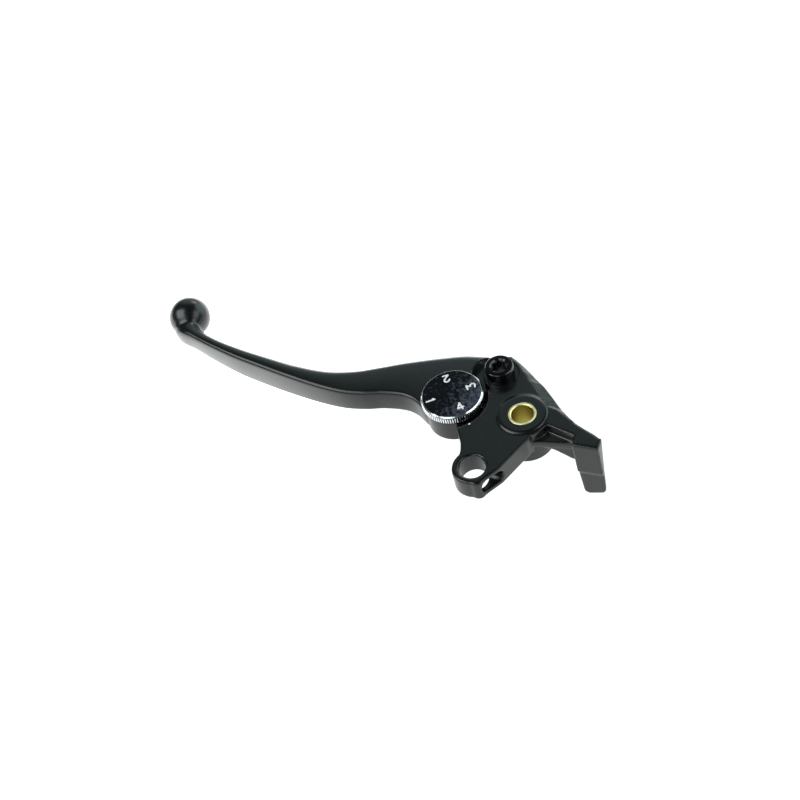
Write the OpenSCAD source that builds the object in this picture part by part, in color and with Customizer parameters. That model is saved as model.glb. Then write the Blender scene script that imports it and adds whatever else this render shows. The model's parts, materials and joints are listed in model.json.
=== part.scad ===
// Adjustable motorcycle clutch lever: a cast blade hinged on a short knuckle, with a four-step reach dial.
// Frame: the origin is at mid length of the main pivot bush and +Z runs along it towards the dial.
// The blade runs towards -X, -Y is the handlebar grip's side and +Y is forward. Millimetres.

/* [Main pivot] */
// Bore of the brass pivot bush
bush_bore_d = 9; // [6:0.5:9.5]
// Outside diameter of the brass pivot bush
bush_d = 11.5; // [11:0.5:13]
// Length of the brass pivot bush
bush_len = 17; // [16.5:0.5:19]
// Diameter of the boss round the bush
boss_d = 20; // [18:0.5:22]

/* [Knuckle] */
// Height of the knuckle's and the blade's top face above the origin
top_z = 8; // [7.5:0.1:8.5]
// Thickness of the knuckle's web and its pushrod lobe
web_t = 10; // [8:0.5:11]
// Diameter of the barrel hole that the pushrod acts on
barrel_d = 11; // [8:0.5:11]
// Height of the slot that lets the pushrod into the barrel hole
slot_h = 6; // [5:0.5:6.5]
// Length of the switch tab below the top face
tab_len = 32.2; // [30:0.2:34]
// Depth of the switch arm's floor below the top face
pocket_depth = 4; // [2:0.5:4.5]

/* [Blade] */
// Thickness of the blade at its root
blade_t = 12; // [11.5:0.25:12.5]
// Diameter of the ball end
ball_d = 19; // [18:0.5:20]
// Angle that the blade can be pushed forward
swing_deg = 14; // [5:1:14]

/* [Adjuster] */
// Diameter of the knurled dial
dial_d = 26; // [24:0.5:26.5]
// Thickness of the dial
dial_t = 3.7; // [3.2:0.1:4.5]
// Reach lost from each dial position to the next, at the cam
cam_step = 0.5; // [0.3:0.1:0.6]
// Diameter of the pivot screw's shank
screw_d = 6; // [5:0.5:6]
// Diameter of the pivot screw's head
screw_head_d = 11.7; // [10:0.1:12]
// Radial running clearance of every turning fit
fit = 0.05; // [0.03:0.01:0.08]

/* [Hidden] */
$fn = 64;

// Plan positions of the three axes beside the main pivot
screw_at = [-18, 15.8];
dial_at = [-30.2, -3.2];
barrel_at = [-6.9, -30.6];

// Main levels
bottom_z = top_z - blade_t;
web_z = top_z - web_t;
boss_low_z = -bush_len / 2;
boss_top_z = top_z + 0.5;
collar_r = boss_d / 2 + 1.5;
arm_low_z = 1;

// Blade hinge: the blade's tongue lies between the knuckle's two ears
ear_r = 7.3;
tongue_low_z = -0.5;
tongue_top_z = 4.5;
tongue_r = 6.5;
tongue_w = 11;
tongue_dir = 203;
tongue_half = 45;
tongue_side_play = 14;
ear_gap = 0.1;
lower_ear_top_z = -4.6;
lower_ear_low_z = -8;
end_arc_r = 12.5;
shield_r = 10;
pad_depth = 0.3;
blade_bush_r = 4;

// Adjuster: the knuckle's nose reaches into a slot in the blade's heel and bears on the cam
heel_r = 12;
heel_gap = 0.5;
recess_r = 14.2;
recess_low_z = 4.5;
cam_r = 5.5;
cam_gap = 0.05;
journal_r = 6;
tail_r = 3;
slot_low_z = bottom_z + 2.5;
slot_top_z = top_z - 2.5;
nose_play = 0.4;
nose_half = 3.6;
arm_dist = norm(dial_at - screw_at);
dial_dir = atan2(dial_at[1] - screw_at[1], dial_at[0] - screw_at[0]);
nose_r = [arm_dist - nose_half, arm_dist + nose_half];
nose_dir = dial_dir + asin((cam_r + cam_gap) / arm_dist);
index_dir = -36;
dial_z = top_z + 0.1;
dial_top_z = dial_z + dial_t;
face_t = 0.6;
face_r = dial_d / 2 - 0.8;
square_w = 7;
square_top_z = dial_z + 2;
detent_r = 9.4;
detent_dir = 150;
detent_ball_r = 1.5;
detent_rise = 0.5;
detent_z = dial_z - fit - detent_ball_r;
pocket_low_z = 1.5;

// Unit vector in plan
function dir(a) = [cos(a), sin(a)];

// Points of an arc from angle a0 to a1
function arc(c, r, a0, a1, n = 12) = [for (i = [0:n]) c + r * dir(a0 + (a1 - a0) * i / n)];

// Value at x of a smooth curve through the rows' first and kth columns
function ramp(t) = t * t * (3 - 2 * t);
function row_of(rows, x, i = 0) = i >= len(rows) - 2 || x <= rows[i + 1][0] ? i : row_of(rows, x, i + 1);
function slope(rows, k, i) =
    let (a = max(i - 1, 0), b = min(i + 1, len(rows) - 1))
    (rows[b][k] - rows[a][k]) / (rows[b][0] - rows[a][0]);
function curve(rows, k, x) =
    let (
        i = row_of(rows, x), w = rows[i + 1][0] - rows[i][0], t = (x - rows[i][0]) / w,
        m0 = slope(rows, k, i) * w, m1 = slope(rows, k, i + 1) * w, s = ramp(t)
    )
    rows[i][k] * (1 - s) + rows[i + 1][k] * s + m0 * t * (1 - t) * (1 - t) - m1 * t * t * (1 - t);

// Upright cylinder between two levels
module post(at, r, low, high) {
    translate([at[0], at[1], low]) cylinder(r = r, h = high - low);
}

// Plan outline raised between two levels
module slab(low, high) {
    translate([0, 0, low]) linear_extrude(high - low) children();
}

// ---------------------------------------------------------------- blade

// The blade's driving stations: x, rear edge y, front edge y, underside z
blade_rows = [
    [-176, -7, 5, -4], [-170, -10.6, 3, -3.6], [-160, -12.4, -5, -3.2],
    [-150, -14, -7.9, -4], [-135, -15.8, -8.7, -5.4], [-120, -16.6, -8.4, -5.9], [-105, -17.2, -7.7, -5.6],
    [-90, -17.3, -5.6, -5], [-78, -16.4, -0.9, -4.4], [-69, -14, 4.7, -4], [-61, -10.7, 10, -3.8],
    [-52, -8.5, 15.3, -3.8], [-46, -9, 18.6, -4], [-38, -12.3, 22.6, -4], [-28, -13, 25.6, -4]
];
blade_steps = 64;
front_round = 5.5;
rear_round = 1;
low_round = 1.5;
corner_steps = 4;

// Corner arcs of one section, in y and z, anticlockwise from the lower rear corner
function corner(y, z, r, a) = [for (i = [0:corner_steps]) [y, z] + r * dir(a + 90 * i / corner_steps)];
function section(yr, yf, zb) =
    let (
        h = top_z - zb, w = yf - yr,
        rf = min(h / 2 - 0.05, w * 0.6, front_round), rr = min(rear_round, w / 4), rl = min(low_round, w / 4)
    )
    concat(
        corner(yr + rl, zb + rl, rl, 180), corner(yf - rf, zb + rf, rf, 270),
        corner(yf - rf, top_z - rf, rf, 0), corner(yr + rr, top_z - rr, rr, 90)
    );
function station(i) =
    let (first = blade_rows[0][0], last = blade_rows[len(blade_rows) - 1][0])
    first + (last - first) * i / blade_steps;

// Solid skinned over equal rings of points, one ring after another along +X
module skin(rings) {
    n = len(rings[0]);
    m = len(rings);
    points = [for (ring = rings) for (p = ring) p];
    sides = [
        for (i = [0:m - 2]) for (j = [0:n - 1])
            let (k = (j + 1) % n) each [
                [i * n + j, (i + 1) * n + j, (i + 1) * n + k],
                [i * n + j, (i + 1) * n + k, i * n + k]
            ]
    ];
    start_cap = [for (j = [0:n - 1]) j];
    end_cap = [for (j = [n - 1:-1:0]) (m - 1) * n + j];
    polyhedron(points, concat(sides, [start_cap, end_cap]), convexity = 10);
}

module blade_grip() {
    skin([
        for (i = [0:blade_steps])
            let (x = station(i))
            [
                for (p = section(curve(blade_rows, 1, x), curve(blade_rows, 2, x), curve(blade_rows, 3, x)))
                    [x, p[0], p[1]]
            ]
    ]);
}

// Ball end, with a small flat above and below
ball_at = [-171.4, 0.9, 2];
ball_flat = 0.2;

module ball_end() {
    r = ball_d / 2;
    translate(ball_at)
    intersection() {
        sphere(r = r);
        cylinder(r = r + 1, h = 2 * (r - ball_flat), center = true);
    }
}

// Ring sector about the pivot screw between two levels
module sector(r, a0, a1, low, high) {
    slab(low, high) polygon(concat(arc(screw_at, r[0], a0, a1), arc(screw_at, r[1], a1, a0)));
}

module tongue() {
    post(screw_at, tongue_r, tongue_low_z, tongue_top_z);
    translate([screw_at[0], screw_at[1], tongue_low_z])
    rotate(tongue_dir)
    translate([0, -tongue_w / 2, 0])
    cube([end_arc_r + 2, tongue_w, tongue_top_z - tongue_low_z]);
    sector(
        [tongue_r - 1, end_arc_r + 0.5], tongue_dir - tongue_half, tongue_dir + tongue_half,
        tongue_low_z, tongue_top_z
    );
}

module lever_blade() {
    color([0.11, 0.12, 0.12])
    difference() {
        union() {
            difference() {
                union() {
                    blade_grip();
                    ball_end();
                    post(dial_at, heel_r, bottom_z, top_z);
                }
                post(screw_at, end_arc_r, bottom_z - 1, top_z + 1);
            }
            tongue();
        }
        post(screw_at, blade_bush_r, tongue_low_z - 1, tongue_top_z + 1);
        post(dial_at, journal_r + fit, slot_low_z, top_z + 1);
        post(dial_at, tail_r + fit, bottom_z - 1, slot_low_z + 1);
        sector(
            [nose_r[0] - nose_play, nose_r[1] + nose_play], dial_dir, dial_dir + 40, slot_low_z, slot_top_z
        );
        post(dial_at + detent_r * dir(detent_dir), detent_ball_r + fit, pocket_low_z, top_z + 1);
    }
}

module blade_bush() {
    color([0.72, 0.55, 0.25])
    difference() {
        post(screw_at, blade_bush_r, tongue_low_z, tongue_top_z);
        post(screw_at, screw_d / 2 + fit, tongue_low_z - 1, tongue_top_z + 1);
    }
}

// ---------------------------------------------------------------- knuckle

// Straight stretches of the lobe, the web and the ears, which end inside the round corners
module web_outline() {
    polygon([
        [-14.2, -28.4], [-9, -37.5], [-6, -38.3], [-2.4, -38.2], [0.3, -35.8], [3.9, -27.2], [6.6, -15.3],
        [7.6, -11.5], [8.2, -7.5], [10.5, 2], [13.5, 3], [15, 7.8], [11.6, 10.2], [8.1, 12.9], [4.6, 15.4],
        [1.3, 17.7], [-4.9, 21], [-11.3, 24.4], [-15.4, 25.6], [-21, 24.2], [-24.2, 18], [-20, 9],
        [-17.6, 5.6], [-18.9, 0], [-20, -9], [-23, -14.6], [-19.7, -18.4], [-17, -21.6], [-15.2, -25]
    ]);
}

// Round corners of the same plate: the lobe's two, the front lug, the upper ear and the boss's collar
module web_corners() {
    post(barrel_at, 8.3, web_z, top_z);
    post([-2.6, -35.3], 3.1, web_z, top_z);
    post([-17.5, 21.8], 4.4, web_z, top_z);
    post(screw_at, ear_r, web_z, top_z);
    post([0, 0], collar_r, web_z, top_z);
}

// The bevel along the front edge, from the lug to the switch arm: crest x and y, edge x, y and z
bevel_rows = [
    [-17.6, 25.4, -18, 26.4, 7.2], [-14, 23.7, -14.6, 25.9, 6.2], [-10.3, 20.9, -11.3, 24.4, 5.4],
    [-5.6, 17.2, -4.9, 21, 5], [-0.2, 13.2, 1.3, 17.7, 5], [5.6, 8.6, 8.1, 12.9, 5], [12, 7.2, 14, 8.6, 6],
    [19, 4.5, 19.4, 5.1, 7.4]
];
module front_bevel() {
    reach = 0.4;
    skin([
        for (r = bevel_rows)
            let (
                crest = [r[0], r[1], top_z], edge = [r[2], r[3], r[4]],
                a = crest + reach * (crest - edge), b = edge + reach * (edge - crest), high = top_z + 4
            )
            [a, b, [b[0], b[1], high], [a[0], a[1], high]]
    ]);
}

// Front rail of the switch arm
module rail_outline() {
    polygon([
        [6, -1.2], [10.8, -1.3], [24.4, -2.7], [26, -3], [34.2, 0], [31.5, 1.1], [26.7, 2.3], [21.7, 3.7],
        [18, 5.6], [14.4, 8.2], [8, 8]
    ]);
}

// Floor between the arm's rail and its thin edge on the grip side
module floor_outline() {
    polygon([[5, -9.5], [8, -9], [11.2, -7.7], [22.6, -4.1], [26, -3], [26, 0], [10, 0]]);
}

// Web under the arm's edge that stiffens the tab, in distance along the edge and z
gusset_at = [11.2, -7.7];
gusset_turn = 17.5;
module gusset() {
    translate([gusset_at[0], gusset_at[1], 0])
    rotate(gusset_turn)
    translate([0, 3.2, 0])
    rotate([90, 0, 0])
    linear_extrude(3)
    polygon([[0, 2], [0, 0.8], [5, -0.9], [11.6, -6.2], [15, -8], [15, 2]]);
}

module switch_arm() {
    slab(arm_low_z, top_z) rail_outline();
    slab(arm_low_z, top_z - pocket_depth) floor_outline();
    gusset();
}

// Lower plate that carries the lower ear and closes the space beside the blade's tongue
module lower_outline() {
    polygon(concat(
        arc([0, 0], boss_d / 2, -120, 50, 16),
        arc(screw_at, ear_r - 1, 62, 185, 16),
        arc(screw_at, shield_r, 200, 262, 8)
    ));
}

// Switch tab, in its own frame: u runs along its face, v away from the grip
tab_at = [24.9, -7.2];
tab_turn = 10;
tab_step_z = -9.5;
tab_step = 0.9;
tab_back = 2.8;
foot_r = 2.2;

// Thin slice of the tab's upper block
module tab_slice(u0, u1, depth, z) {
    translate([u0, 0, z]) cube([u1 - u0, depth, 0.1]);
}

module switch_tab() {
    foot_z = top_z - tab_len;
    translate([tab_at[0], tab_at[1], 0])
    rotate(tab_turn) {
        hull() {
            tab_slice(0, 11, 5.8, top_z - 0.1);
            tab_slice(0.8, 11.5, tab_back, tab_step_z);
        }
        translate([0, tab_back, 0])
        rotate([90, 0, 0])
        linear_extrude(tab_back - tab_step)
        hull() {
            translate([0.7, tab_step_z]) square([10.8, 1]);
            translate([2 + foot_r, foot_z + foot_r]) circle(r = foot_r);
            translate([11.3 - foot_r, foot_z + foot_r + 1.4]) circle(r = foot_r);
        }
    }
}

module pushrod_slot() {
    reach = 4;
    mid_z = 3;
    end_r = slot_h / 2;
    span = 10.6 - slot_h;
    translate([barrel_at[0] + reach, barrel_at[1] - 0.6, mid_z])
    rotate([0, 90, 0])
    linear_extrude(20) {
        translate([0, -span / 2]) circle(r = end_r);
        translate([0, span / 2]) circle(r = end_r);
        square([slot_h, span], center = true);
    }
}

module knuckle() {
    color([0.12, 0.13, 0.13])
    difference() {
        union() {
            difference() {
                union() {
                    slab(web_z, top_z) web_outline();
                    web_corners();
                    slab(lower_ear_low_z, web_z + 1) lower_outline();
                    post(screw_at, ear_r, lower_ear_low_z, web_z + 1);
                    switch_arm();
                }
                post(screw_at, tongue_r + 0.4, lower_ear_top_z, tongue_top_z + ear_gap);
                sector(
                    [1, end_arc_r + 0.3], tongue_dir - tongue_half - tongue_side_play - swing_deg,
                    tongue_dir + tongue_half + tongue_side_play,
                    lower_ear_top_z, tongue_top_z + ear_gap
                );
                post(screw_at, ear_r + 0.2, top_z - pad_depth, top_z + 1);
                post(dial_at, recess_r, recess_low_z, top_z + 1);
                post(dial_at, heel_r + heel_gap, bottom_z - 5, recess_low_z + 1);
                front_bevel();
            }
            post([0, 0], boss_d / 2, web_z, boss_top_z);
            post([0, 0], collar_r, boss_low_z, web_z + 1);
            sector(nose_r, nose_dir, nose_dir + 24, slot_low_z + nose_play, slot_top_z - nose_play);
            switch_tab();
        }
        post([0, 0], bush_d / 2, boss_low_z - 1, boss_top_z + 1);
        post(barrel_at, barrel_d / 2, web_z - 1, top_z + 1);
        pushrod_slot();
        post(screw_at, screw_d / 2 + fit, lower_ear_low_z - 1, top_z + 1);
    }
}

module index_mark() {
    color("white") post(dial_at + 15.2 * dir(index_dir), 0.4, top_z, top_z + 0.06);
}

module pivot_bush() {
    color([0.80, 0.66, 0.30])
    difference() {
        post([0, 0], bush_d / 2, boss_low_z, boss_top_z);
        post([0, 0], bush_bore_d / 2, boss_low_z - 1, boss_top_z + 1);
    }
}

// ---------------------------------------------------------------- pivot screw

washer_t = 1;
nut_h = 5;
screw_low_z = lower_ear_low_z - washer_t - nut_h - 0.6;

// Six-lobe driver socket
module socket(lobe_r, depth) {
    slab(-depth, 1) {
        circle(r = lobe_r * 0.72);
        for (i = [0:5]) translate(lobe_r * 0.76 * dir(60 * i)) circle(r = lobe_r * 0.24);
    }
}

module pivot_screw() {
    head_low = top_z - pad_depth;
    head_top = top_z + 5.5;
    edge = 0.6;
    color([0.07, 0.07, 0.08])
    translate([screw_at[0], screw_at[1], 0])
    difference() {
        rotate_extrude() polygon([
            [0, screw_low_z], [screw_d / 2 - edge, screw_low_z], [screw_d / 2, screw_low_z + edge],
            [screw_d / 2, head_low], [screw_head_d / 2, head_low], [screw_head_d / 2, head_top - edge],
            [screw_head_d / 2 - edge, head_top], [0, head_top]
        ]);
        translate([0, 0, head_top - 0.5]) cylinder(r1 = 3.4, r2 = 3.9, h = 0.6);
        translate([0, 0, head_top]) socket(3.3, 3.2);
    }
}

module pivot_washer() {
    color([0.6, 0.6, 0.62])
    difference() {
        post(screw_at, 5.9, lower_ear_low_z - washer_t, lower_ear_low_z);
        post(screw_at, screw_d / 2 + 0.2, lower_ear_low_z - washer_t - 1, lower_ear_low_z + 1);
    }
}

module pivot_nut() {
    low = lower_ear_low_z - washer_t - nut_h;
    color([0.6, 0.6, 0.62])
    difference() {
        translate([screw_at[0], screw_at[1], low]) cylinder(d = 11.5, h = nut_h, $fn = 6);
        post(screw_at, screw_d / 2, low - 1, low + nut_h + 1);
    }
}

// ---------------------------------------------------------------- springs

// Tube of round wire along a coil about +Z, from angle a0 to a1
module coil(r, wire_d, low, high, a0, a1, steps, sides = 8) {
    rise = (high - low) / (a1 - a0);
    tilt = atan(rise * 180 / PI / r);
    rings = [
        for (i = [0:steps])
            let (a = a0 + (a1 - a0) * i / steps, z = low + rise * (a - a0))
            [
                for (j = [0:sides - 1])
                    let (b = 360 * j / sides, u = wire_d / 2 * cos(b), v = wire_d / 2 * sin(b))
                    concat((r + u) * dir(a) - v * sin(tilt) * dir(a + 90), [z + v * cos(tilt)])
            ]
    ];
    skin(rings);
}

module return_spring() {
    wire_d = 1;
    low = lower_ear_top_z + wire_d / 2 + 0.05;
    high = tongue_low_z - wire_d / 2 - 0.05;
    color([0.55, 0.55, 0.58])
    translate([screw_at[0], screw_at[1], 0])
    coil(5, wire_d, low, high, 0, 990, 66);
}

module detent_spring() {
    wire_d = 0.4;
    ball_low_z = detent_z - detent_ball_r;
    at = dial_at + detent_r * dir(detent_dir);
    color([0.55, 0.55, 0.58])
    translate([at[0], at[1], 0])
    coil(1.15, wire_d, pocket_low_z + wire_d / 2, ball_low_z - wire_d / 2 + 0.05, 0, 1800, 80, 6);
}

// ---------------------------------------------------------------- dial

module dial_knob() {
    edge = 0.6;
    r = dial_d / 2;
    color([0.86, 0.87, 0.88])
    difference() {
        translate([dial_at[0], dial_at[1], 0])
        rotate_extrude() polygon([
            [0, dial_z], [r - 0.3, dial_z], [r, dial_z + 0.3], [r, dial_top_z - edge],
            [face_r, dial_top_z], [0, dial_top_z]
        ]);
        post(dial_at, face_r, dial_top_z - face_t, dial_top_z + 1);
        translate([dial_at[0], dial_at[1], dial_z])
        rotate(index_dir) cube([square_w, square_w, 2 * (square_top_z - dial_z)], center = true);
        post(dial_at, 2.1, dial_z, dial_top_z);
        translate([dial_at[0], dial_at[1], dial_top_z - face_t - 0.9]) cylinder(r1 = 2.1, r2 = 3.2, h = 1);
        for (i = [0:3])
            translate(concat(dial_at + detent_r * dir(detent_dir + 90 * i), [detent_z + detent_rise]))
            sphere(r = detent_ball_r + fit, $fn = 32);
    }
}

module dial_face() {
    color([0.06, 0.06, 0.09]) post(dial_at, face_r, dial_top_z - face_t, dial_top_z - 0.08);
}

// One printed stroke between two points
module stroke(a, b, w) {
    d = b - a;
    translate(a) rotate(atan2(d[1], d[0])) translate([-w / 2, -w / 2]) square([norm(d) + w, w]);
}

// Strokes of the numerals, as points in a box 1 wide and 1.6 high with its centre at the origin
numerals = [
    [[-0.25, 0.45], [0.05, 0.8], [0.05, -0.8]],
    [[-0.5, 0.45], [-0.25, 0.8], [0.25, 0.8], [0.5, 0.45], [0.35, 0.05], [-0.5, -0.8], [0.5, -0.8]],
    [[-0.5, 0.8], [0.45, 0.8], [0, 0.15], [0.45, -0.1], [0.45, -0.55], [0.15, -0.8], [-0.5, -0.7]],
    [[0.2, -0.8], [0.2, 0.8], [-0.55, -0.3], [0.55, -0.3]]
];

// Radius and angle of each numeral on the dial
numeral_at = [[9, 224], [8.9, 134], [8.5, 49], [7.9, index_dir]];

module dial_numerals() {
    size = 1.9;
    line = 0.6;
    color("white")
    slab(dial_top_z - 0.08, dial_top_z - 0.02)
    for (i = [0:3]) {
        at = numeral_at[i];
        translate(dial_at + at[0] * dir(at[1])) rotate(at[1] + 90)
        for (k = [0:len(numerals[i]) - 2]) stroke(size * numerals[i][k], size * numerals[i][k + 1], line);
    }
}

// Cam: one round step and three flats, each closer to the axis than the one before
module cam() {
    difference() {
        post(dial_at, cam_r, slot_low_z, slot_top_z);
        for (i = [1:3])
            translate([dial_at[0], dial_at[1], slot_low_z - 1])
            rotate(index_dir + 90 * i)
            translate([cam_r - i * cam_step, -10, 0])
            cube([20, 20, slot_top_z - slot_low_z + 2]);
    }
}

clip_top_z = bottom_z - 0.5;
clip_t = 0.6;
tail_low_z = clip_top_z - clip_t - 0.8;

module cam_shaft() {
    color([0.62, 0.62, 0.65])
    difference() {
        union() {
            cam();
            post(dial_at, journal_r, slot_top_z, dial_z);
            translate([dial_at[0], dial_at[1], (dial_z + square_top_z) / 2])
            rotate(index_dir) cube([square_w, square_w, square_top_z - dial_z], center = true);
            post(dial_at, tail_r, tail_low_z, slot_low_z);
        }
        difference() {
            post(dial_at, tail_r + 1, clip_top_z - clip_t, clip_top_z);
            post(dial_at, tail_r - 0.7, clip_top_z - clip_t - 1, clip_top_z + 1);
        }
        post(dial_at, 2, slot_low_z + 1, square_top_z + 1);
    }
}

module dial_screw() {
    head_z = dial_top_z - face_t - 0.9;
    color([0.6, 0.6, 0.62])
    translate([dial_at[0], dial_at[1], 0])
    rotate_extrude() polygon([
        [0, slot_low_z + 1.5], [2, slot_low_z + 1.5], [2, head_z - 0.05], [3, head_z + 0.85], [0, head_z + 0.85]
    ]);
}

module cam_washer() {
    color([0.6, 0.6, 0.62])
    difference() {
        post(dial_at, 5, clip_top_z, bottom_z - 0.1);
        post(dial_at, tail_r + 0.1, clip_top_z - 1, bottom_z + 1);
    }
}

module cam_clip() {
    color([0.25, 0.25, 0.27])
    difference() {
        post(dial_at, 5.4, clip_top_z - clip_t, clip_top_z);
        post(dial_at, tail_r - 0.7, clip_top_z - clip_t - 1, clip_top_z + 1);
        translate([dial_at[0] - 8, dial_at[1] - 1.9, clip_top_z - clip_t - 1]) cube([8, 3.8, 3]);
    }
}

module detent_ball() {
    color([0.8, 0.8, 0.82])
    translate(concat(dial_at + detent_r * dir(detent_dir), [detent_z])) sphere(r = detent_ball_r, $fn = 32);
}

lever_blade();
knuckle();
pivot_bush();
pivot_screw();
pivot_washer();
pivot_nut();
blade_bush();
return_spring();
dial_knob();
dial_face();
dial_numerals();
cam_shaft();
dial_screw();
cam_washer();
cam_clip();
detent_ball();
detent_spring();
index_mark();
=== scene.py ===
"""Looks for the motorcycle clutch lever: satin black castings, a knurled chrome reach dial and a brass bush.

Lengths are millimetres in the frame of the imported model, unless a comment says metres, and MM turns them into
metres where Blender takes them.
"""
import json
import math

import bmesh
import bpy
from mathutils import Matrix, Vector


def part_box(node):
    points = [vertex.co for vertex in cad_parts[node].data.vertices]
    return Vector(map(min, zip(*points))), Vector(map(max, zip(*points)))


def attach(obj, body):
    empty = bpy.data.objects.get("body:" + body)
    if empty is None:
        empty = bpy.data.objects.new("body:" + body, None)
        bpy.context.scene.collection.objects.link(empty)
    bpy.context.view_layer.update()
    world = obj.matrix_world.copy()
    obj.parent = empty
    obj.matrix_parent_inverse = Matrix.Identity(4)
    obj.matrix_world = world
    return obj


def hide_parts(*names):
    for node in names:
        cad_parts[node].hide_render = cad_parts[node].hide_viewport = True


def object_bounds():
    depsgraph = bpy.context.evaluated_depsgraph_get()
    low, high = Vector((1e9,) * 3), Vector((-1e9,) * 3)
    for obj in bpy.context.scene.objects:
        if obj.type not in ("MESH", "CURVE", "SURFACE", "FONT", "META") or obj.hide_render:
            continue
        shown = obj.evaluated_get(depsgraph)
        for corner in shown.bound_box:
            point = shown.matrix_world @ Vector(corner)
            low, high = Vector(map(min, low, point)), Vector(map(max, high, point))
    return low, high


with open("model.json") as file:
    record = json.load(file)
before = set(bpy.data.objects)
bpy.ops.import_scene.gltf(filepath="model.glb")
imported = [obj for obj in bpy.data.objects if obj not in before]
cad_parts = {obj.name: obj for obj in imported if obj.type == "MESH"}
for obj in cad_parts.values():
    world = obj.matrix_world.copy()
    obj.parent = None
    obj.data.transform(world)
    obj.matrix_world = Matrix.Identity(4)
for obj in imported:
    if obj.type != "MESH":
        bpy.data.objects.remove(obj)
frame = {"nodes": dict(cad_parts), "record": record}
cad_low, cad_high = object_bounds()
nodes = frame["nodes"]
MM = 0.001


def centre_of(node):
    """Middle of a CAD node's box, in millimetres."""
    low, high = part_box(node)
    return (Vector(low) + Vector(high)) / 2 / MM


def levels_of(node):
    """Lowest and highest z of a CAD node, in millimetres."""
    low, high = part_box(node)
    return low[2] / MM, high[2] / MM


def radius_of(node):
    """Half the width of a round CAD node, in millimetres."""
    low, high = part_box(node)
    return (high[0] - low[0]) / 2 / MM


# Places that the pieces share, all read from the frame
PIVOT = centre_of("pivot_bush")
SCREW = centre_of("pivot_screw")
DIAL = centre_of("dial_knob")
MOUNTS = {m["name"]: m for m in frame["record"]["mounts"]}
BARREL = Vector(MOUNTS["barrel_hole"]["pos_m"]) / MM
BARREL_R = MOUNTS["barrel_hole"]["dims"]["r_mm"]
# The paint dot lies on the castings' common top level
BLADE_TOP = levels_of("index_mark")[0]
BLADE_LOW = BLADE_TOP - 12.0
DIAL_LOW, DIAL_TOP = levels_of("dial_knob")
DIAL_R = radius_of("dial_knob")
FACE_R = radius_of("dial_face")
DETENT = centre_of("detent_ball")
DETENT_R = radius_of("detent_ball")
# Room round the detent's ball in its pocket and in the dial's dimples
DETENT_GAP = 0.1
# Direction from the dial's centre to the index mark, in degrees
INDEX_ANGLE = -36.0


# ---------------------------------------------------------------- camera, light and floor

# The photograph's viewing angle in degrees, and where its camera stands
VIEW_AZIMUTH = 42.37
VIEW_ELEVATION = 48.32
VIEW_ROLL = 16.66
VIEW_DISTANCE = 600.0
VIEW_AIM = Vector((-43.1, -19.96, 21.24))
VIEW_LENS = 67.5


def add_camera():
    """Camera at the photograph's viewing angle."""
    a, e, r = (math.radians(v) for v in (VIEW_AZIMUTH, VIEW_ELEVATION, VIEW_ROLL))
    back = Vector((math.sin(a) * math.cos(e), -math.cos(a) * math.cos(e), math.sin(e)))
    level = Vector((math.cos(a), math.sin(a), 0.0))
    upright = back.cross(level)
    right = math.cos(r) * level - math.sin(r) * upright
    up = math.sin(r) * level + math.cos(r) * upright
    data = bpy.data.cameras.new("photo_camera")
    data.lens = VIEW_LENS
    data.clip_start, data.clip_end = 0.01, 20.0
    camera = bpy.data.objects.new("photo_camera", data)
    bpy.context.scene.collection.objects.link(camera)
    turn = Matrix((right, up, back)).transposed().to_4x4()
    camera.matrix_world = Matrix.Translation((VIEW_AIM + back * VIEW_DISTANCE) * MM) @ turn
    bpy.context.scene.camera = camera


# Level direction across the picture
SIDEWAYS = Vector((0.868, 0.497, 0.0))


def add_light(name, at, size, radiance, aim):
    """Rectangular softbox aimed at a point, its first side along SIDEWAYS. Places and sizes are in metres."""
    data = bpy.data.lights.new(name, "AREA")
    data.shape = "RECTANGLE"
    data.size, data.size_y = size
    data.energy = radiance * math.pi * size[0] * size[1]
    light = bpy.data.objects.new(name, data)
    back = (at - aim).normalized()
    up = back.cross(SIDEWAYS).normalized()
    turn = Matrix((up.cross(back), up, back)).transposed().to_4x4()
    light.matrix_world = Matrix.Translation(at) @ turn
    bpy.context.scene.collection.objects.link(light)


class Nodes:
    """Helpers for the nodes of a material or a world. Each takes and gives the sockets that carry values."""

    def __init__(self, tree):
        self.tree = tree

    def add(self, kind, *values, **settings):
        """New node with its settings made and the values linked to its first inputs."""
        node = self.tree.nodes.new("ShaderNode" + kind)
        for name, setting in settings.items():
            setattr(node, name, setting)
        for socket, value in zip(node.inputs, values):
            self.tree.links.new(value, socket)
        return node

    def split(self, vector):
        """The x, y and z of a vector."""
        return self.add("SeparateXYZ", vector).outputs

    def maths(self, operation, first, second):
        return self.add("Math", first, second, operation=operation).outputs[0]

    def vector_maths(self, operation, vector, constant):
        """Joins a vector with a fixed one."""
        node = self.add("VectorMath", vector, operation=operation)
        node.inputs[1].default_value = constant
        return node

    def ramp(self, value, low, high, out_low, out_high):
        """Maps a value's range from low to high onto another range."""
        node = self.add("MapRange", value)
        for socket, number in zip(node.inputs[1:5], (low, high, out_low, out_high)):
            socket.default_value = number
        return node.outputs["Result"]


# Colour of the room's light
ROOM_TINT = (0.78, 0.98, 1.0, 1.0)
# The room's walls: radiance at the floor, and from 0.3 of the way up
WALL_LOW, WALL_HIGH = 0.2, 0.06
# Glowing patches of the room: direction, cosines at the patch's edge and where it is full, and radiance
PATCHES = (
    ((-0.451, 0.752, 0.481), 0.85, 0.99, 0.8),  # pale wall high behind the object, which its flat tops mirror
    ((0.46, 0.84, 0.27), 0.84, 0.93, 2.2),  # window low behind it, which its far edges and the dial's rim mirror
    ((0.03, -0.79, 0.61), 0.93, 0.98, 2.2),  # lamp in front, which the rounds of its near edges mirror
)


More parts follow.
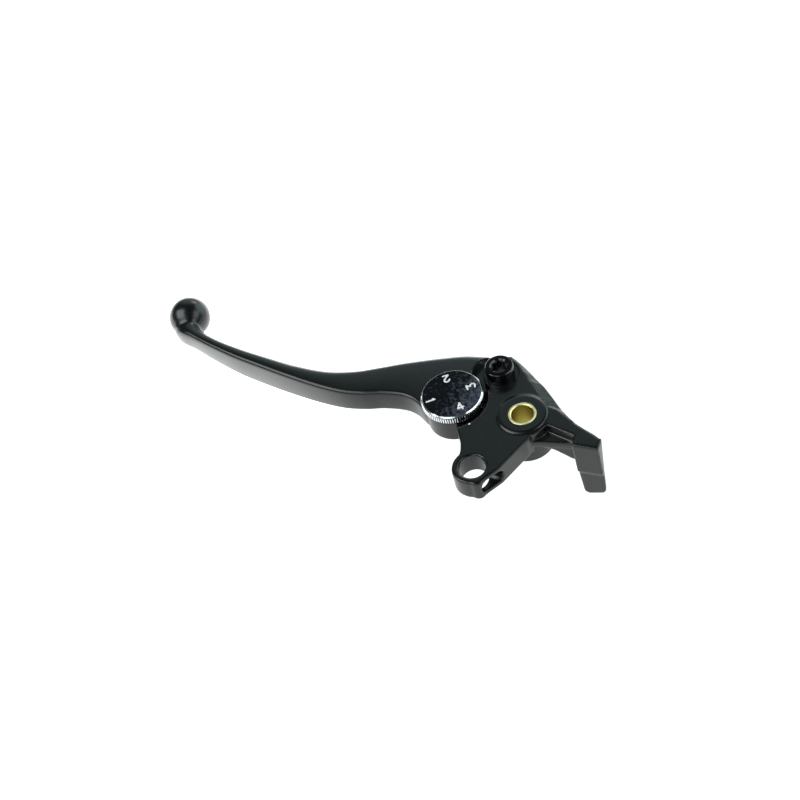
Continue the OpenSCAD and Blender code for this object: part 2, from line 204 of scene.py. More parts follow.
def add_world():
    """Dim room with three glowing patches, and plain white where the camera looks past the object."""
    world = bpy.data.worlds.new("studio_room")
    world.use_nodes = True
    tree = world.node_tree
    tree.nodes.clear()
    made = Nodes(tree)
    way = tree.nodes.new("ShaderNodeTexCoord").outputs["Generated"]
    strength = made.ramp(made.split(way)[2], 0.0, 0.3, WALL_LOW, WALL_HIGH)
    for direction, edge, full, radiance in PATCHES:
        towards = made.vector_maths("DOT_PRODUCT", way, direction).outputs["Value"]
        strength = made.maths("ADD", strength, made.ramp(towards, edge, full, 0.0, radiance))
    seen, lit = made.add("Background"), made.add("Background")
    seen.inputs["Color"].default_value = (1.0, 1.0, 1.0, 1.0)
    lit.inputs["Color"].default_value = ROOM_TINT
    tree.links.new(strength, lit.inputs["Strength"])
    camera_ray = made.add("LightPath").outputs["Is Camera Ray"]
    mix = made.add("MixShader", camera_ray, lit.outputs[0], seen.outputs[0])
    made.add("OutputWorld", mix.outputs[0])
    bpy.context.scene.world = world


# The middle of the object, which the softboxes are aimed at, and their distance from it, in metres
STUDIO_AIM = Vector((-0.06, 0.0, 0.0))
BOX_DISTANCE = 1.1
# Softboxes: direction from the object, size in metres and radiance
SOFTBOXES = {
    "softbox_left": ((-0.49, -0.43, 0.75), (0.8, 0.8), 4.6),
    "softbox_right": ((0.77, 0.18, 0.61), (0.6, 0.8), 2.4),
    "softbox_back": ((-0.23, 0.875, 0.427), (0.3, 0.3), 4.5),
}
# Half the side of the floor, and its gap under the object, in metres
FLOOR_HALF = 3.0
FLOOR_GAP = 0.0001


def add_studio():
    """Room, softboxes and floor."""
    bpy.context.scene.view_settings.view_transform = "Standard"
    add_world()
    for name, (direction, size, radiance) in SOFTBOXES.items():
        at = STUDIO_AIM + BOX_DISTANCE * Vector(direction).normalized()
        add_light(name, at, size, radiance, STUDIO_AIM)
    bm = bmesh.new()
    bmesh.ops.create_grid(bm, x_segments=8, y_segments=8, size=FLOOR_HALF)
    floor = to_object("floor", bm, smooth=False)
    floor.location = (0.0, 0.0, cad_low[2] - FLOOR_GAP)
    floor.data.materials.append(floor_material())


# ---------------------------------------------------------------- mesh helpers


def to_object(name, bm, smooth=True):
    """Object made from a bmesh, which it frees."""
    mesh = bpy.data.meshes.new(name)
    bmesh.ops.recalc_face_normals(bm, faces=bm.faces)
    bm.to_mesh(mesh)
    bm.free()
    if smooth:
        mesh.shade_smooth()
    obj = bpy.data.objects.new(name, mesh)
    bpy.context.scene.collection.objects.link(obj)
    return obj


def settle(obj):
    """Applies the object's modifiers."""
    depsgraph = bpy.context.evaluated_depsgraph_get()
    depsgraph.update()
    made = bpy.data.meshes.new_from_object(obj.evaluated_get(depsgraph))
    old = obj.data
    obj.modifiers.clear()
    obj.data = made
    bpy.data.meshes.remove(old)
    return obj


def combine(target, cutters, operation):
    """Adds the cutters to the target, or cuts them from it, and removes them."""
    for cutter in cutters:
        modifier = target.modifiers.new("combine", "BOOLEAN")
        modifier.operation = operation
        modifier.solver = "MANIFOLD"
        modifier.object = cutter
        settle(target)
        old = cutter.data
        bpy.data.objects.remove(cutter)
        bpy.data.meshes.remove(old)
    return target


def cut(target, *cutters):
    return combine(target, cutters, "DIFFERENCE")


def unite(target, *cutters):
    return combine(target, cutters, "UNION")


def cast_rounding(obj, voxel, rounds):
    """Rounds every edge and corner a little, as casting and coating do, more with more rounds of smoothing."""
    remesh = obj.modifiers.new("remesh", "REMESH")
    remesh.mode = "VOXEL"
    remesh.voxel_size = voxel * MM
    remesh.use_smooth_shade = True
    smooth = obj.modifiers.new("smooth", "SMOOTH")
    smooth.factor = 0.5
    smooth.iterations = rounds
    return settle(obj)


def skin(name, rings):
    """Solid over equal rings of points, capped at both ends."""
    bm = bmesh.new()
    made = [[bm.verts.new(Vector(p) * MM) for p in ring] for ring in rings]
    count = len(rings[0])
    for ring, after in zip(made, made[1:]):
        for j in range(count):
            k = (j + 1) % count
            bm.faces.new((ring[j], after[j], after[k], ring[k]))
    bm.faces.new(list(reversed(made[0])))
    bm.faces.new(made[-1])
    return to_object(name, bm)


def lathe(name, at, profile, steps=128):
    """Solid of revolution about +Z through at. The profile's points are (radius, z), from bottom to top."""
    rings = []
    for r, z in profile:
        ring = []
        for i in range(steps):
            a = 2 * math.pi * i / steps
            ring.append((at[0] + r * math.cos(a), at[1] + r * math.sin(a), z))
        rings.append(ring)
    return skin(name, rings)


def tube(name, at, profile, steps=128):
    """Ring of revolution: the profile is a closed loop of (radius, z)."""
    bm = bmesh.new()
    grid = []
    for i in range(steps):
        a = 2 * math.pi * i / steps
        grid.append([
            bm.verts.new(Vector((at[0] + r * math.cos(a), at[1] + r * math.sin(a), z)) * MM) for r, z in profile
        ])
    count = len(profile)
    for i in range(steps):
        here, there = grid[i], grid[(i + 1) % steps]
        for j in range(count):
            k = (j + 1) % count
            bm.faces.new((here[j], there[j], there[k], here[k]))
    return to_object(name, bm)


def prism(name, outline, low, high):
    """Outline in plan, raised between two levels."""
    return skin(name, [[(x, y, low) for x, y in outline], [(x, y, high) for x, y in outline]])


def ball_profile(r, z):
    """Profile of a ball for lathe, with a speck of flat at each pole."""
    angles = [math.radians(a) for a in range(-90, 91, 3)]
    return [(max(r * math.cos(a), 0.05), z + r * math.sin(a)) for a in angles]


def post(at, r, low, high, steps=96):
    """Upright cylinder between two levels."""
    return lathe("post", at, [(r, low), (r, high)], steps)


def arc(at, r, start, stop, steps):
    """Points of an arc from one angle to another, in degrees."""
    points = []
    for i in range(steps + 1):
        a = math.radians(start + (stop - start) * i / steps)
        points.append((at[0] + r * math.cos(a), at[1] + r * math.sin(a)))
    return points


def copy_of(node, name):
    """Loose copy of a CAD node's mesh, to work from."""
    obj = bpy.data.objects.new(name, nodes[node].data.copy())
    obj.data.materials.clear()
    bpy.context.scene.collection.objects.link(obj)
    bm = bmesh.new()
    bm.from_mesh(obj.data)
    bmesh.ops.remove_doubles(bm, verts=bm.verts, dist=1e-7)
    bm.to_mesh(obj.data)
    bm.free()
    return obj


def crisp(obj, angle=30.0):
    """Smooth shading with sharp edges kept where faces meet at more than the angle."""
    obj.data.shade_smooth()
    obj.data.set_sharp_from_angle(angle=math.radians(angle))
    return obj


def place(obj, body, replaced, material):
    """Gives a piece its material and its body, and puts it in place of the CAD nodes that it replaces."""
    obj.data.materials.clear()
    obj.data.materials.append(material)
    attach(obj, body)
    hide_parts(*replaced)
    return obj


# ---------------------------------------------------------------- materials


class Shader(Nodes):
    """A material with one Principled shader, and helpers for the nodes that vary it."""

    def __init__(self, name, colour, roughness, metallic=0.0, **sockets):
        self.material = bpy.data.materials.new(name)
        self.material.use_nodes = True
        super().__init__(self.material.node_tree)
        self.shader = self.tree.nodes["Principled BSDF"]
        self.shader.inputs["Base Color"].default_value = (*colour, 1.0)
        self.shader.inputs["Roughness"].default_value = roughness
        self.shader.inputs["Metallic"].default_value = metallic
        for socket, value in sockets.items():
            self.shader.inputs[socket.replace("_", " ")].default_value = value
        self.place = self.add("TexCoord").outputs["Object"]

    def noise(self, scale, detail=3.0, stretch=(1.0, 1.0, 1.0)):
        mapping = self.add("Mapping", self.place)
        mapping.inputs["Scale"].default_value = stretch
        node = self.add("TexNoise", mapping.outputs[0])
        node.inputs["Scale"].default_value = scale
        node.inputs["Detail"].default_value = detail
        return node.outputs["Fac"]

    def axis(self, index):
        """x, y or z of the place on the object, in metres, by the index 0, 1 or 2."""
        return self.split(self.place)[index]

    def reach(self, centre):
        """Distance in plan from an upright axis through centre, in metres."""
        away = self.vector_maths("SUBTRACT", self.place, (centre.x * MM, centre.y * MM, 0.0)).outputs[0]
        level = self.vector_maths("MULTIPLY", away, (1.0, 1.0, 0.0)).outputs[0]
        return self.add("VectorMath", level, operation="LENGTH").outputs["Value"]

    def mix(self, value, first, second):
        """Blend of two colours by a value from 0 to 1."""
        node = self.add("Mix", data_type="RGBA")
        node.inputs["A"].default_value = (*first, 1.0)
        node.inputs["B"].default_value = (*second, 1.0)
        self.tree.links.new(value, node.inputs["Factor"])
        return node.outputs["Result"]

    def feed(self, value, socket):
        """Drives a socket of the shader."""
        self.tree.links.new(value, self.shader.inputs[socket])

    def bump(self, value, strength, depth):
        """Adds a relief to any that is there already, with its depth in millimetres."""
        node = self.add("Bump")
        node.inputs["Strength"].default_value = strength
        node.inputs["Distance"].default_value = depth * MM
        self.tree.links.new(value, node.inputs["Height"])
        if self.shader.inputs["Normal"].is_linked:
            self.tree.links.new(self.shader.inputs["Normal"].links[0].from_socket, node.inputs["Normal"])
        self.feed(node.outputs["Normal"], "Normal")


def floor_material():
    """White table that glows, more strongly under the grip and beside the switch tab: the dimmer glow near the
    knuckle is a painted shadow of the lever and the extra glow beside the tab is painted light, both mirrored by
    the lever's side faces.
    """
    made = Shader("glowing_table_painted_shadow", (0.3, 0.3, 0.3), 0.9)
    # Painted shadow and light: the glow drops near the knuckle and rises under the grip and beside the tab
    painted_glow_under_grip = made.ramp(made.axis(0), -0.07, -0.14, 0.98, 2.6)
    painted_glow_beside_tab = made.ramp(made.axis(0), 0.035, 0.07, 0.0, 0.35)
    made.shader.inputs["Emission Color"].default_value = (0.98, 1.0, 1.0, 1.0)
    made.feed(made.maths("ADD", painted_glow_under_grip, painted_glow_beside_tab), "Emission Strength")
    return made.material


def coated_casting():
    """Satin black coating over a casting: a fine orange peel and slightly uneven gloss."""
    made = Shader("satin_black_coating", (0.004, 0.005, 0.005), 0.25, IOR=1.46)
    made.feed(made.ramp(made.noise(60.0, 4.0), 0.3, 0.7, 0.2, 0.28), "Roughness")
    made.feed(made.mix(made.noise(400.0, 2.0), (0.002, 0.003, 0.003), (0.005, 0.006, 0.006)), "Base Color")
    made.bump(made.noise(1500.0, 2.0), 0.25, 0.02)
    made.bump(made.noise(260.0, 2.0), 0.2, 0.03)
    return made.material


def black_steel():
    """Black oxide on steel; its flat top reflects far less than its rim and socket, a painted shade that keeps the
    top dark under the pale wall.
    """
    made = Shader("black_oxide_steel", (0.002, 0.002, 0.003), 0.15)
    top = levels_of("pivot_screw")[1]
    # Painted shade: the reflection is turned down on the flat top only
    gloss = made.ramp(made.axis(2), (top - 0.04) * MM, (top - 0.02) * MM, 0.55, 0.1)
    made.feed(gloss, "Specular IOR Level")
    made.feed(made.ramp(made.noise(300.0), 0.3, 0.7, 0.1, 0.18), "Roughness")
    made.bump(made.noise(1200.0), 0.15, 0.01)
    return made.material


# Scale of the marks that a lathe leaves, and their stretch along the part's circumference
LATHE_MARKS = (2500.0, 2.0, (0.15, 0.15, 1.0))


def turned_metal(name, colour, roughness):
    """Metal turned on a lathe, with fine marks round the part."""
    made = Shader(name, colour, roughness, 1.0)
    marks = made.noise(*LATHE_MARKS)
    made.feed(made.ramp(marks, 0.25, 0.75, roughness * 0.75, roughness * 1.35), "Roughness")
    made.bump(marks, 0.12, 0.01)
    darker = tuple(c * 0.88 for c in colour)
    made.feed(made.mix(made.noise(120.0, 3.0), darker, colour), "Base Color")
    return made.material


def turned_brass():
    """Brass on the bush's end faces, made paler than plain brass as a painted highlight, and dark olive in its
    bore, a painted shade inside the hole.
    """
    made = Shader("turned_brass", (0.9, 0.8, 0.42), 0.4, 1.0)
    bore = MOUNTS["pivot_bore"]["dims"]["r_mm"]
    # Painted shade in the bore and painted highlight on the end faces, switched by the distance from the pivot
    face = made.ramp(made.reach(PIVOT), (bore + 0.1) * MM, (bore + 0.25) * MM, 0.0, 1.0)
    made.feed(made.mix(face, (0.36, 0.3, 0.055), (1.0, 0.9, 0.52)), "Base Color")
    marks = made.noise(*LATHE_MARKS)
    made.feed(made.ramp(marks, 0.25, 0.75, 0.32, 0.5), "Roughness")
    made.bump(marks, 0.12, 0.01)
    return made.material


def chrome_plate():
    """Bright plating, with painted shade, near-black, in the roots of the dial's knurl and on its underside and
    bore.
    """
    bright, knurl_root_shade = (0.86, 0.87, 0.88), (0.03, 0.03, 0.03)
    made = Shader("chrome_plate", bright, 0.14, 1.0)
    # Painted shade: near-black inside the knurl's crests and below the chamfer, where the grooves and hidden faces
    # lie
    tooth = made.ramp(made.reach(DIAL), (DIAL_R - 0.3) * MM, (DIAL_R - 0.1) * MM, 0.0, 1.0)
    rim = made.ramp(made.axis(2), (DIAL_TOP - 0.95) * MM, (DIAL_TOP - 0.8) * MM, 0.0, 1.0)
    made.feed(made.mix(made.maths("MAXIMUM", tooth, rim), knurl_root_shade, bright), "Base Color")
    made.feed(made.ramp(made.noise(500.0), 0.3, 0.7, 0.1, 0.2), "Roughness")
    made.bump(made.noise(900.0, 2.0), 0.08, 0.01)
    return made.material


def dial_gloss():
    """Gloss black insert with a faint blue cast and a painted reflection: a lighter blue-grey mottle in its colour,
    more of it towards the knuckle.
    """
    made = Shader("dial_gloss_black", (0.01, 0.01, 0.02), 0.2, IOR=1.22)
    # Painted reflection: lighter blue-grey patches of colour, more of them towards the knuckle
    sheen_towards_knuckle = made.ramp(made.axis(0), (DIAL.x - 5) * MM, (DIAL.x + 12) * MM, -0.12, 0.2)
    painted_sheen_mottle = made.ramp(made.maths("ADD", made.noise(700.0, 8.0), sheen_towards_knuckle), 0.46, 0.85, 0.0, 1.0)
    made.feed(made.mix(painted_sheen_mottle, (0.0015, 0.0015, 0.003), (0.07, 0.08, 0.11)), "Base Color")
    made.feed(made.ramp(made.noise(700.0, 5.0), 0.3, 0.75, 0.1, 0.28), "Roughness")
    made.bump(made.noise(350.0, 4.0), 0.25, 0.03)
    return made.material


def white_print():
    """White paint with a slightly uneven, chalky face."""
    made = Shader("white_print", (0.85, 0.86, 0.83), 0.5)
    made.feed(made.mix(made.noise(1500.0), (0.74, 0.75, 0.73), (0.9, 0.91, 0.89)), "Base Color")
    made.bump(made.noise(2500.0), 0.2, 0.01)
    return made.material


COATED = coated_casting()
BLACK_STEEL = black_steel()
BRASS = turned_brass()
BRONZE = turned_metal("sintered_bronze", (0.55, 0.37, 0.2), 0.4)
ZINC = turned_metal("zinc_plate", (0.62, 0.63, 0.66), 0.3)
SPRING = turned_metal("spring_steel", (0.4, 0.4, 0.43), 0.35)
CHROME = chrome_plate()
GLOSS = dial_gloss()
WHITE = white_print()


# ---------------------------------------------------------------- blade

# Stations along the blade: x, the rear edge's y, the front edge's y and the underside's z
BLADE_ROWS = [
    (-176, -7, 5, -4), (-170, -10.8, 3, -3.6), (-160, -12.5, -5, -3.2),
    (-150, -14, -7.9, -4), (-135, -15.8, -8.7, -5.4), (-120, -16.6, -8.4, -5.9), (-105, -17.2, -7.7, -5.6),
    (-90, -17.3, -5.6, -5), (-78, -16.4, -0.9, -4.4), (-69, -14, 4.7, -4), (-61, -10.7, 10, -3.8),
    (-52, -8.5, 15.3, -3.8), (-46, -9, 18.6, -4), (-38, -12.3, 22.6, -4), (-28, -13, 25.6, -4),
]
BLADE_STEPS = 300
# Rounds of the rear face's upper and lower edges, and the largest round of the front
REAR_ROUND = 1.4
LOW_ROUND = 1.2
FRONT_ROUND = 5.5
# How far the rear face is barrelled and the top is crowned
REAR_BULGE = 1.3
TOP_FALL = 0.35
# Where the rear crest starts to sink towards the ball, over what length, and how far
SINK_START = -161.0
SINK_LENGTH = 12.0
SINK_DEPTH = 4.0
# Ball end
BALL = Vector((-171.4, 0.9, 2.0))
BALL_R = 9.42
# Round heel under the dial, and the clearing round the pivot screw
HEEL_R = 12.0
END_ARC_R = 12.5


def curve_at(x, column):
    """Smooth curve through one column of the blade's stations."""
    rows = BLADE_ROWS
    i = max(k for k in range(len(rows) - 1) if k == 0 or rows[k][0] < x)
    width = rows[i + 1][0] - rows[i][0]
    t = (x - rows[i][0]) / width

    def slope(k):
        a, b = max(k - 1, 0), min(k + 1, len(rows) - 1)
        return (rows[b][column] - rows[a][column]) / (rows[b][0] - rows[a][0]) * width

    s = t * t * (3 - 2 * t)
    bend = slope(i) * t * (1 - t) ** 2 - slope(i + 1) * t * t * (1 - t)
    return rows[i][column] * (1 - s) + rows[i + 1][column] * s + bend


def blade_section(x):
    """One ring of the grip: a slightly barrelled rear face, a crowned top and a round front."""
    rear, front, low = (curve_at(x, k) for k in (1, 2, 3))
    top = BLADE_TOP - 0.02
    sink = SINK_DEPTH * min(max((SINK_START - x) / SINK_LENGTH, 0.0), 1.0) ** 2
    height, width = top - low, front - rear
    bulge = min(height / 2 - 0.05, width * 0.6, FRONT_ROUND)
    above, below = min(REAR_ROUND, width / 5), min(LOW_ROUND, width / 4)
    ring = arc((rear + below, low + below), below, 180, 270, 10)
    ring += arc((front - bulge, low + bulge), bulge, 270, 360, 12)
    ring += arc((front - bulge, top - bulge), bulge, 0, 90, 12)
    inner, outer = rear + above, front - bulge
    ring += [(outer + (inner - outer) * i / 8, top) for i in range(1, 8)]
    ring += arc((rear + above, top - above), above, 90, 180, 14)
    ring += [(rear, top - above + (low + below - top + above) * i / 8) for i in range(1, 8)]
    shaped = []
    for y, z in ring:
        across, down = (y - rear) / width, (top - z) / height
        crown = (TOP_FALL * ((across - 0.4) / 0.4) ** 2 + sink * (1.0 - across)) * (1.0 - down)
        barrel = REAR_BULGE * (down - 0.3) ** 2 * max(1.0 - 2.0 * across, 0.0)
        shaped.append((x, y + barrel, z - crown))
    return shaped


def relax(obj, rounds, weight_at):
    """Smooths a mesh where weight_at, given a place in millimetres, is above 0, and fully where it is 1 or more."""
    group = obj.vertex_groups.new(name="relax")
    for v in obj.data.vertices:
        weight = min(weight_at(v.co / MM), 1.0)
        if weight > 0.0:
            group.add([v.index], weight, "REPLACE")
    smooth = obj.modifiers.new("relax", "SMOOTH")
    smooth.vertex_group = group.name
    smooth.factor = 0.5
    smooth.iterations = rounds
    return settle(obj)


def sector_outline(r0, r1, start, stop, steps=24):
    """Outline of a ring sector about the pivot screw."""
    return arc(SCREW, r0, start, stop, steps) + arc(SCREW, r1, stop, start, steps)


def make_blade():
    """Casting of the blade: grip, ball end and heel, with the clearing round the pivot screw."""
    first, last = BLADE_ROWS[0][0], BLADE_ROWS[-1][0]
    rings = [blade_section(first + (last - first) * i / BLADE_STEPS) for i in range(BLADE_STEPS + 1)]
    blade = skin("blade_visual", rings)
    ball = lathe("ball", BALL, ball_profile(BALL_R, BALL.z), 96)
    edge = 0.8
    top, low = BLADE_TOP - 0.02, BLADE_LOW + 0.05
    heel = lathe("heel", DIAL, [
        (HEEL_R - edge, low), (HEEL_R, low + edge), (HEEL_R, top - edge), (HEEL_R - edge, top)
    ], 128)
    unite(blade, ball, heel)
    cut(blade, post(SCREW, END_ARC_R, low - 4, top + 2, 160))
    return relax(cast_rounding(blade, 0.3, 4), 130, lambda at: (-152 - at.x) / 11)


# Tongue that the pivot screw holds: its direction in degrees, half its angle, its width and its eye's radius
TONGUE_DIR = 203.0
TONGUE_HALF = 45.0
TONGUE_W = 11.0
EYE_R = 6.5
# Holes for the bush and for the cam shaft's journal and tail
BUSH_SEAT_R = 4.0
JOURNAL_R = 6.05
TAIL_R = 3.05
# Slot for the knuckle's nose: the walls over and under it, half its width and the angle it covers
SLOT_WALL = 2.5
SLOT_HALF = 4.0
SLOT_ANGLE = 40.0


def finish_blade(blade):
    """Machined features of the blade, made after the casting's edges are rounded."""
    low, top = BLADE_LOW, BLADE_TOP
    tongue_low, tongue_top = levels_of("blade_bush")
    edge = 0.4
    tongue_dir = math.radians(TONGUE_DIR)
    along = Vector((math.cos(tongue_dir), math.sin(tongue_dir)))
    across = Vector((-along.y, along.x)) * TONGUE_W / 2
    base = SCREW.xy
    far = base + along * (END_ARC_R + 2)
    bar = prism("bar", [base - across, far - across, far + across, base + across], tongue_low, tongue_top)
    eye = lathe("eye", SCREW, [
        (EYE_R - edge, tongue_low), (EYE_R, tongue_low + edge),
        (EYE_R, tongue_top - edge), (EYE_R - edge, tongue_top),
    ])
    fan = sector_outline(EYE_R - 1, END_ARC_R + 0.5, TONGUE_DIR - TONGUE_HALF, TONGUE_DIR + TONGUE_HALF)
    unite(blade, bar, eye, prism("side", fan, tongue_low, tongue_top))
    slot_low, slot_top = low + SLOT_WALL, top - SLOT_WALL
    arm = (DIAL - SCREW).xy
    start = math.degrees(math.atan2(arm.y, arm.x))
    slot = sector_outline(arm.length - SLOT_HALF, arm.length + SLOT_HALF, start, start + SLOT_ANGLE)
    pocket_low = levels_of("detent_spring")[0]
    cut(
        blade,
        post(DETENT, DETENT_R + DETENT_GAP, pocket_low - 0.05, top + 1, 48),
        post(SCREW, BUSH_SEAT_R, tongue_low - 1, tongue_top + 1),
        post(DIAL, JOURNAL_R, slot_low, top + 1),
        post(DIAL, TAIL_R, low - 1, slot_low + 0.1),
        prism("slot", slot, slot_low, slot_top),
    )
    return crisp(blade, 35)


# ---------------------------------------------------------------- knuckle

BOSS_R = 10.0
# Seat of the screw's head, a little under the knuckle's top
PAD_R = 7.5
PAD_Z = 7.7
# Chamfers of the barrel's hole above and below
BARREL_CHAMFER = 1.0
BARREL_LOW_CHAMFER = 1.2


def make_knuckle():
    """Casting of the knuckle from its CAD shape, with its machined boss, bores and screw seat."""
    knuckle = cast_rounding(copy_of("knuckle", "knuckle_visual"), 0.28, 16)
    knuckle = relax(knuckle, 35, lambda at: max((at.x - 12) / 12, (-28 - at.y) / 5))
    top = levels_of("pivot_bush")[1]
    low = -top
    edge = 0.25
    unite(knuckle, tube("boss", PIVOT, [
        (5.0, BLADE_TOP - 2), (BOSS_R, BLADE_TOP - 2), (BOSS_R, top - edge), (BOSS_R - 0.1, top - 0.1),
        (BOSS_R - edge, top), (5.0, top)
    ]))
    bush_r = radius_of("pivot_bush")
    cut(
        knuckle,
        lathe("seat", PIVOT, [(bush_r, low - 1), (bush_r, top - 0.3), (bush_r + 0.8, top + 0.5)]),
        lathe("barrel", BARREL, [
            (BARREL_R + BARREL_LOW_CHAMFER, -3.0), (BARREL_R, -1.5),
            (BARREL_R, BLADE_TOP - 0.5), (BARREL_R + BARREL_CHAMFER, BLADE_TOP + 0.5),
        ]),
        lathe("pad", SCREW, [(PAD_R, PAD_Z), (PAD_R + 0.4, BLADE_TOP + 0.1), (PAD_R + 0.4, BLADE_TOP + 2)]),
    )
    return crisp(knuckle, 35)


# ---------------------------------------------------------------- dial

KNURLS = 80
KNURL_DEPTH = 0.45
# Depth of the knurl over one tooth: 0 at its root, 1 at its crest
TOOTH = (0.0, 0.0, 0.8, 1.0, 1.0, 0.8)
DIAL_CHAMFER = 0.85
FACE_DEPTH = 0.6
# Radius of the bore round the dial's screw and shaft, and how far the detent's ball rises into a dimple
DIAL_BORE = 3.6
DIMPLE_RISE = 0.5


def make_dial():
    """Dial wheel: a straight knurl, a polished chamfer, a recess for its insert and four dimples below."""
    steps = KNURLS * len(TOOTH)
    low, top = DIAL_LOW, DIAL_TOP
    # Radius and level of each ring, and whether the knurl cuts it
    rows = [
        (DIAL_BORE, low, 0), (DIAL_R - 0.6, low, 0), (DIAL_R - 0.25, low + 0.15, 0), (DIAL_R, low + 0.45, 1),
        (DIAL_R, top - DIAL_CHAMFER, 1), (FACE_R + 0.55, top - 0.45, 0), (FACE_R + 0.1, top - 0.03, 0),
        (FACE_R + 0.02, top - 0.02, 0), (FACE_R, top - 0.08, 0), (FACE_R, top - FACE_DEPTH, 0),
        (DIAL_BORE, top - FACE_DEPTH, 0),
    ]
    bm = bmesh.new()
    rings = []
    for r, z, knurled in rows:
        ring = []
        for i in range(steps):
            a = 2 * math.pi * i / steps
            here = r - knurled * KNURL_DEPTH * (1 - TOOTH[i % len(TOOTH)])
            at = Vector((DIAL.x + here * math.cos(a), DIAL.y + here * math.sin(a), z))
            ring.append(bm.verts.new(at * MM))
        rings.append(ring)
    rings.append(rings[0])
    for ring, after in zip(rings, rings[1:]):
        for i in range(steps):
            k = (i + 1) % steps
            bm.faces.new((ring[i], ring[k], after[k], after[i]))
    profile = ball_profile(DETENT_R + DETENT_GAP, DETENT.z + DIMPLE_RISE)
    dimples = []
    for i in range(4):
        at = DIAL.xy + Matrix.Rotation(math.radians(90 * i), 2) @ (DETENT - DIAL).xy
        dimples.append(lathe("dimple", at, profile, 48))
    return crisp(cut(to_object("dial_knob_visual", bm), *dimples), 25)


def make_face():
    """Insert of the dial, a thin disc with a fine chamfer."""
    low, top = levels_of("dial_face")
    return crisp(lathe("dial_face_visual", DIAL, [
        (FACE_R - 0.05, low), (FACE_R - 0.05, top - 0.1), (FACE_R - 0.15, top), (0.05, top)
    ]), 25)


# Strokes of the numerals 1 to 4, as points in a box 1 wide and 1.6 high with its centre at the origin
NUMERALS = [
    [(-0.2, 0.5), (0.05, 0.8), (0.05, -0.8)],
    [(-0.5, 0.4), (-0.35, 0.7), (0.0, 0.82), (0.38, 0.68), (0.5, 0.38), (0.3, 0.0), (-0.5, -0.78), (0.5, -0.78)],
    [(-0.5, 0.8), (0.45, 0.8), (-0.05, 0.15), (0.3, 0.05), (0.5, -0.3), (0.35, -0.68), (0.0, -0.82), (-0.5, -0.6)],
    [(0.22, -0.8), (0.22, 0.8), (-0.55, -0.35), (0.55, -0.35)],
]
# Radius and angle of each numeral on the dial
NUMERAL_AT = [(9.0, 224.0), (8.7, 133.0), (8.5, 49.0), (7.9, INDEX_ANGLE)]
NUMERAL_SIZE = 2.2
HALF_LINE = 0.37
# Each stroke lies this much under the one before, so that no two share a face where they cross
STROKE_STEP = 0.003


def make_numerals():
    """Printed numerals: flat strokes with round ends, their tops towards the dial's centre."""
    low, top = levels_of("dial_numerals")
    strokes = []
    for points, (r, angle) in zip(NUMERALS, NUMERAL_AT):
        at = math.radians(angle)
        outward = Vector((math.cos(at), math.sin(at)))
        across = Vector((-outward.y, outward.x))
        centre = DIAL.xy + r * outward
        placed = [centre + NUMERAL_SIZE * (p[0] * across - p[1] * outward) for p in points]
        for k, (a, b) in enumerate(zip(placed, placed[1:])):
            run = math.degrees(math.atan2(b.y - a.y, b.x - a.x))
            ends = arc(b, HALF_LINE, run - 90, run + 90, 8) + arc(a, HALF_LINE, run + 90, run + 270, 8)
            strokes.append(prism("stroke", ends, low, top - STROKE_STEP * k))
    return join("numerals_visual", strokes)


def join(name, parts):
    """One object from several, which it removes."""
    bm = bmesh.new()
    for part in parts:
        bm.from_mesh(part.data)
        old = part.data
        bpy.data.objects.remove(part)
        bpy.data.meshes.remove(old)
    return to_object(name, bm, smooth=False)


# ---------------------------------------------------------------- screw and bush

SHANK_R = 3.0
# Six-lobe socket: its radius over the lobes, how deep the lobes cut as a share of it, and its depth
SOCKET_R = 3.35
LOBE_SHARE = 0.13
SOCKET_DEPTH = 3.2


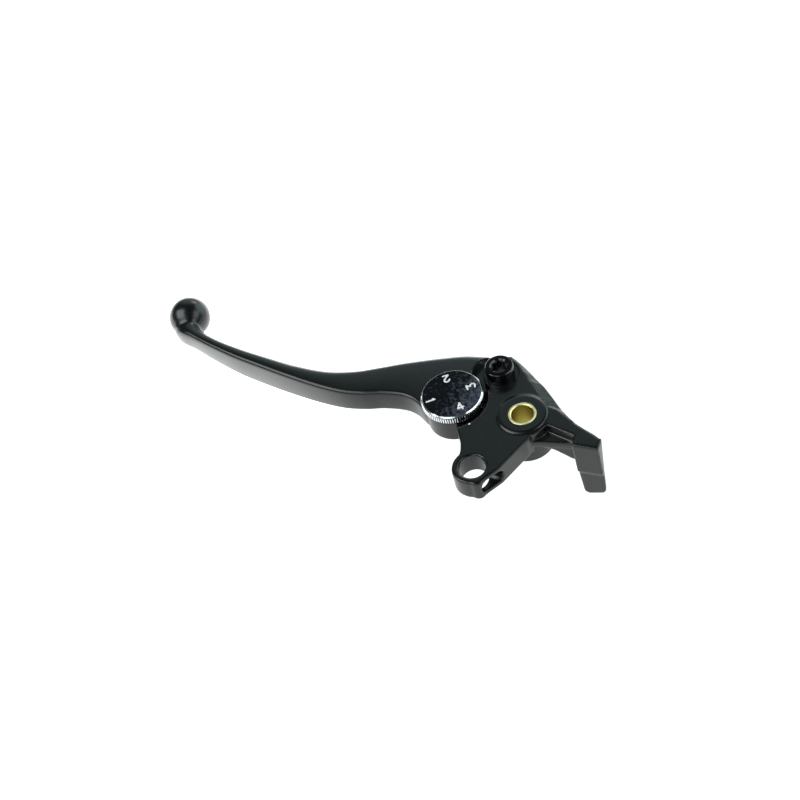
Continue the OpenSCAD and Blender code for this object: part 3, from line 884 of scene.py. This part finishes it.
def make_screw():
    """Black six-lobe screw with a rounded head and a bevel round its socket."""
    low, top = levels_of("pivot_screw")
    head_r, head_low = radius_of("pivot_screw"), PAD_Z
    screw = lathe("pivot_screw_visual", SCREW, [
        (0.05, low), (SHANK_R - 0.6, low), (SHANK_R, low + 0.6), (SHANK_R, head_low), (head_r - 0.25, head_low),
        (head_r, head_low + 0.25), (head_r, top - 0.55), (head_r - 0.1, top - 0.25), (head_r - 0.3, top - 0.06),
        (head_r - 0.6, top), (0.05, top)
    ])
    steps = 144
    outline = []
    for i in range(steps):
        a = 2 * math.pi * i / steps
        r = SOCKET_R * (1 - LOBE_SHARE + LOBE_SHARE * math.cos(6 * a))
        outline.append((SCREW.x + r * math.cos(a), SCREW.y + r * math.sin(a)))
    cut(
        screw,
        lathe("bevel", SCREW, [(3.3, top - 0.6), (4.1, top + 0.2)]),
        prism("socket", outline, top - SOCKET_DEPTH, top + 1),
    )
    return crisp(screw, 25)


def make_bush():
    """Bush of the main pivot, with a chamfered bore."""
    low, top = levels_of("pivot_bush")
    outer, inner = radius_of("pivot_bush"), MOUNTS["pivot_bore"]["dims"]["r_mm"]
    edge = 0.45
    return crisp(tube("pivot_bush_visual", PIVOT, [
        (inner, low + edge), (inner + edge, low), (outer - 0.15, low), (outer, low + 0.15),
        (outer, top - 0.15), (outer - 0.15, top), (inner + edge, top), (inner, top - edge)
    ]), 25)


# ---------------------------------------------------------------- assembly

add_camera()
blade = finish_blade(make_blade())
place(blade, "blade", ["lever_blade"], COATED)
place(make_knuckle(), "knuckle", ["knuckle"], COATED)
place(make_bush(), "knuckle", ["pivot_bush"], BRASS)
place(make_screw(), "knuckle", ["pivot_screw"], BLACK_STEEL)
place(make_dial(), "dial", ["dial_knob"], CHROME)
place(make_face(), "dial", ["dial_face"], GLOSS)
place(make_numerals(), "dial", ["dial_numerals"], WHITE)

# The remaining CAD nodes keep their shape and get a finish of their own
FINISHES = {
    "pivot_washer": ZINC, "pivot_nut": ZINC, "blade_bush": BRONZE, "return_spring": SPRING, "cam_shaft": ZINC,
    "dial_screw": ZINC, "cam_washer": SPRING, "cam_clip": SPRING, "detent_ball": CHROME,
    "detent_spring": SPRING, "index_mark": WHITE,
}
for name, material in FINISHES.items():
    node = nodes[name]
    node.data.materials.clear()
    node.data.materials.append(material)

add_studio()
